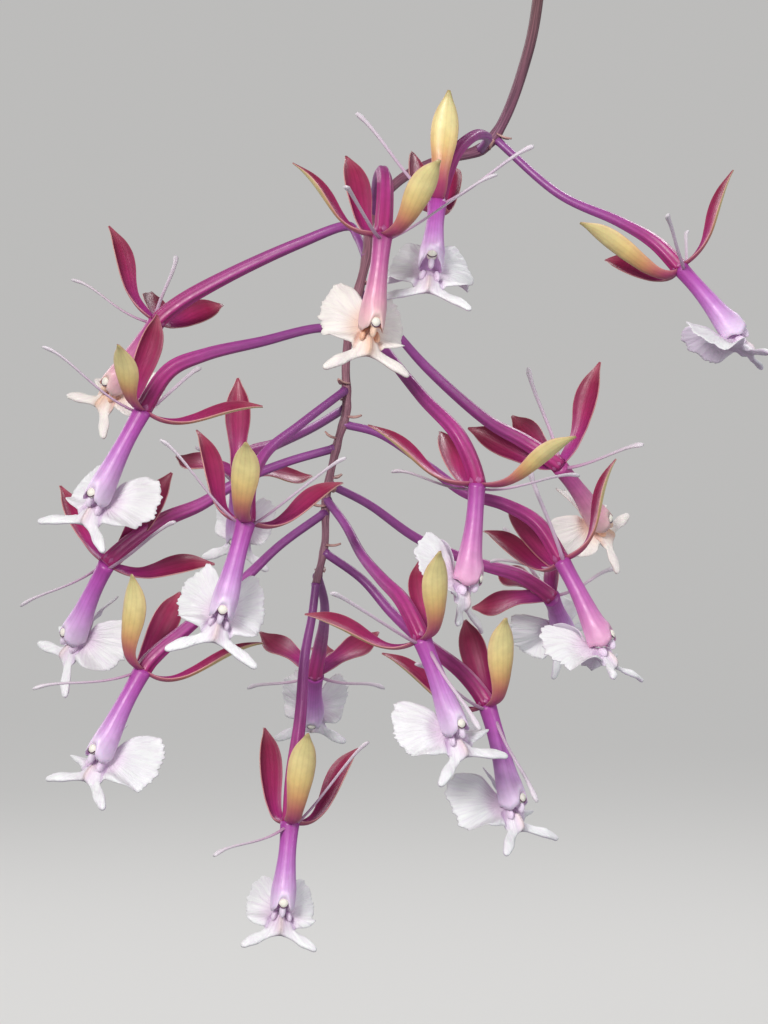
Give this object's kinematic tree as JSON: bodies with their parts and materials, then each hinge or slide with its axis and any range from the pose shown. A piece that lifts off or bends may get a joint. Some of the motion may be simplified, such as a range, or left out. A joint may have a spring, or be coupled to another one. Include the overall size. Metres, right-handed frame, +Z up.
{
  "type": "epidendrum orchid in hanging basket",
  "caption": "Pendulous cluster of violet and magenta orchid blooms with white lobed lips, hanging from a leafy cane in a slatted wooden hanging basket.",
  "frame": {"origin": "top of the inside of the hook's arch, where the hook bears on the rail or nail that it hangs from", "axes": "+Z up; the cluster hangs in front of the basket and faces -Y; +X to the viewer's right"},
  "size_m": [0.2103, 0.2777, 0.5372],
  "materials": {
    "bloom": "waxy plant tissue, violet stalk and column, magenta sepals with yellow inner faces",
    "lip": "velvety white petal tissue, tinted lavender",
    "axis": "finely ribbed green stem tissue flushed mauve",
    "leaf": "leathery leaf, satin",
    "bark": "rough bark chips and moss",
    "wood": "bare sawn wood, slightly weathered",
    "steel": "galvanised wire"
  },
  "bodies": {
    "root": {"bloom_01": "bloom", "bloom_02": "bloom", "bloom_03": "bloom", "bloom_04": "bloom", "bloom_05": "bloom", "bloom_06": "bloom", "bloom_07": "bloom", "bloom_08": "bloom", "bloom_09": "bloom", "bloom_10": "bloom", "bloom_11": "bloom", "bloom_12": "bloom", "bloom_13": "bloom", "bloom_14": "bloom", "bloom_15": "bloom", "bloom_16": "bloom", "bloom_17": "bloom", "lip_01": "lip", "lip_02": "lip", "lip_03": "lip", "lip_04": "lip", "lip_05": "lip", "lip_06": "lip", "lip_07": "lip", "lip_08": "lip", "lip_09": "lip", "lip_10": "lip", "lip_11": "lip", "lip_12": "lip", "lip_13": "lip", "lip_14": "lip", "lip_15": "lip", "lip_16": "lip", "lip_17": "lip", "raceme_axis": "axis", "cane_1": "leaf", "cane_2": "leaf", "cane_3": "leaf", "cane_4": "leaf", "growing_medium": "bark", "slat_front_1": "wood", "slat_front_3": "wood", "slat_front_5": "wood", "slat_back_1": "wood", "slat_back_3": "wood", "slat_back_5": "wood", "slat_left_2": "wood", "slat_left_4": "wood", "slat_right_2": "wood", "slat_right_4": "wood", "slat_floor_1": "wood", "slat_floor_2": "wood", "slat_floor_3": "wood", "wire_front_left": "steel", "wire_front_right": "steel", "wire_back_left": "steel", "wire_back_right": "steel", "hanger_hook": "steel"}
  },
  "joints": []
}
